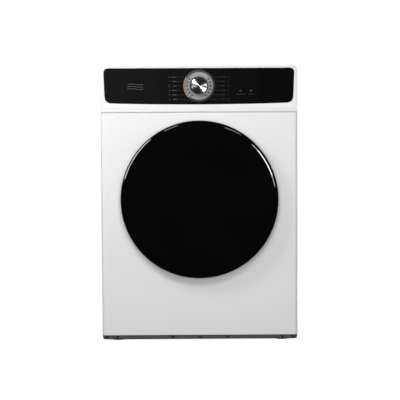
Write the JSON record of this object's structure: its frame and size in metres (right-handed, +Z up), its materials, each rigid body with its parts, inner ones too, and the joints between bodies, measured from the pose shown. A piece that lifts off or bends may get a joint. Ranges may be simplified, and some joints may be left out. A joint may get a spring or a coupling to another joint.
{
  "type": "clothes dryer",
  "caption": "White front-loading tumble dryer with a black round domed door, black console with central dial, turning drum, belt drive, lint filter and rear air outlet.",
  "frame": {"origin": "on the floor, under the centre of the machine's box, with the feet wound fully in", "axes": "+Z up, front with the door facing -Y, +X to the right seen from the front"},
  "size_m": [0.595, 0.56, 0.835],
  "materials": {
    "white_paint": "baked enamel, semi-gloss",
    "white_plastic": "moulded, semi-gloss",
    "grey_plastic": "moulded, fine texture",
    "black_gloss": "piano black",
    "black_plastic": "moulded, matt",
    "galvanised": "zinc-coated sheet",
    "stainless": "brushed",
    "steel": "turned",
    "chrome": "polished",
    "satin": "satin",
    "aluminium": "cast",
    "bronze": "sintered bronze",
    "rubber": "matt",
    "felt": "felt",
    "board": "circuit board"
  },
  "bodies": {
    "cabinet": {"base_tray": "grey_plastic", "side_panel_left": "white_paint", "side_panel_right": "white_paint", "front_panel": "white_paint", "rear_panel": "galvanised", "worktop": "white_plastic", "front_bulkhead": "galvanised", "rear_bulkhead": "galvanised", "cable_inlet": "black_plastic", "console_frame": "white_plastic", "console_fascia": "black_gloss", "control_board": "board", "dial_rim": "chrome", "indicator_ring": "satin", "door_well": "grey_plastic", "hinge_bracket": "steel", "hinge_pin": "steel", "latch_catch": "white_plastic", "front_drum_seal": "felt", "shaft_bush": "bronze", "heater_housing": "galvanised", "heater_element": "steel", "motor_body": "aluminium", "motor_bracket": "galvanised", "drive_belt": "rubber", "filter_duct": "grey_plastic", "filter_duct_cover": "grey_plastic", "blower_housing": "grey_plastic", "exhaust_duct": "galvanised", "vent_collar": "white_plastic"},
    "door": {"door_cover": "black_gloss", "door_ring": "black_plastic", "door_inner_frame": "grey_plastic", "door_bowl": "grey_plastic", "door_seal": "rubber", "door_grip": "black_plastic", "hinge_leaf": "steel", "latch_hook": "black_plastic"},
    "latch_jaw": {"latch_jaw": "steel"},
    "drum": {"drum_shell": "stainless", "drum_rear_wall": "stainless", "drum_shaft": "steel", "lifter_1": "grey_plastic", "lifter_2": "grey_plastic", "lifter_3": "grey_plastic"},
    "motor_rotor": {"motor_shaft": "steel", "motor_pulley": "steel", "blower_impeller": "white_plastic"},
    "idler_arm": {"idler_arm": "galvanised", "idler_spring": "steel"},
    "idler_pulley": {"idler_pulley": "steel"},
    "support_roller_left": {"support_roller_left": "rubber"},
    "support_roller_right": {"support_roller_right": "rubber"},
    "program_knob": {"program_knob": "chrome", "knob_cap": "stainless"},
    "lint_filter": {"lint_filter": "black_plastic"},
    "foot_front_left": {"foot_front_left": "black_plastic"},
    "foot_front_right": {"foot_front_right": "black_plastic"},
    "foot_rear_left": {"foot_rear_left": "black_plastic"},
    "foot_rear_right": {"foot_rear_right": "black_plastic"}
  },
  "joints": [
    {"name": "door_hinge", "type": "hinge", "parent": "cabinet", "child": "door", "pos_m": [-0.2253, -0.257, 0.4315], "axis": [0, 0, -1], "range_deg": [0, 110]},
    {"name": "latch_jaw_slide", "type": "slide", "parent": "cabinet", "child": "latch_jaw", "axis": [1, 0, 0], "range_m": [0, 0.003], "stiffness_N_per_m": 800, "springref_m": -0.002},
    {"name": "drum_spin", "type": "hinge", "parent": "cabinet", "child": "drum", "pos_m": [0, 0.231, 0.47], "axis": [0, 1, 0], "continuous": true},
    {"name": "motor_spin", "type": "hinge", "parent": "cabinet", "child": "motor_rotor", "pos_m": [0.12, 0, 0.105], "axis": [0, 1, 0], "continuous": true},
    {"name": "idler_arm_swing", "type": "hinge", "parent": "cabinet", "child": "idler_arm", "pos_m": [0.05, 0.117, 0.05], "axis": [0, 1, 0], "range_deg": [0, 12], "stiffness_Nm_per_rad": 2, "springref_deg": -22.92},
    {"name": "idler_pulley_spin", "type": "hinge", "parent": "idler_arm", "child": "idler_pulley", "pos_m": [0.02, 0.104, 0.112], "axis": [0, 1, 0], "continuous": true},
    {"name": "roller_left_spin", "type": "hinge", "parent": "cabinet", "child": "support_roller_left", "pos_m": [-0.18981, -0.15, 0.22706], "axis": [0, 1, 0], "continuous": true},
    {"name": "roller_right_spin", "type": "hinge", "parent": "cabinet", "child": "support_roller_right", "pos_m": [0.18981, -0.15, 0.22706], "axis": [0, 1, 0], "continuous": true},
    {"name": "program_knob_turn", "type": "hinge", "parent": "cabinet", "child": "program_knob", "pos_m": [0, -0.24, 0.774], "axis": [0, 1, 0], "continuous": true},
    {"name": "lint_filter_pull", "type": "slide", "parent": "cabinet", "child": "lint_filter", "axis": [0, 0, 1], "range_m": [0, 0.14]},
    {"name": "foot_front_left_wind", "type": "slide", "parent": "cabinet", "child": "foot_front_left", "axis": [0, 0, -1], "range_m": [0, 0.012]},
    {"name": "foot_front_right_wind", "type": "slide", "parent": "cabinet", "child": "foot_front_right", "axis": [0, 0, -1], "range_m": [0, 0.012]},
    {"name": "foot_rear_left_wind", "type": "slide", "parent": "cabinet", "child": "foot_rear_left", "axis": [0, 0, -1], "range_m": [0, 0.012]},
    {"name": "foot_rear_right_wind", "type": "slide", "parent": "cabinet", "child": "foot_rear_right", "axis": [0, 0, -1], "range_m": [0, 0.012]}
  ],
  "couplings": [
    {"joint": "motor_spin", "follows": "drum_spin", "ratio": 30.538},
    {"joint": "idler_pulley_spin", "follows": "drum_spin", "ratio": 19.86},
    {"joint": "roller_left_spin", "follows": "drum_spin", "ratio": -11.32},
    {"joint": "roller_right_spin", "follows": "drum_spin", "ratio": -11.32}
  ]
}
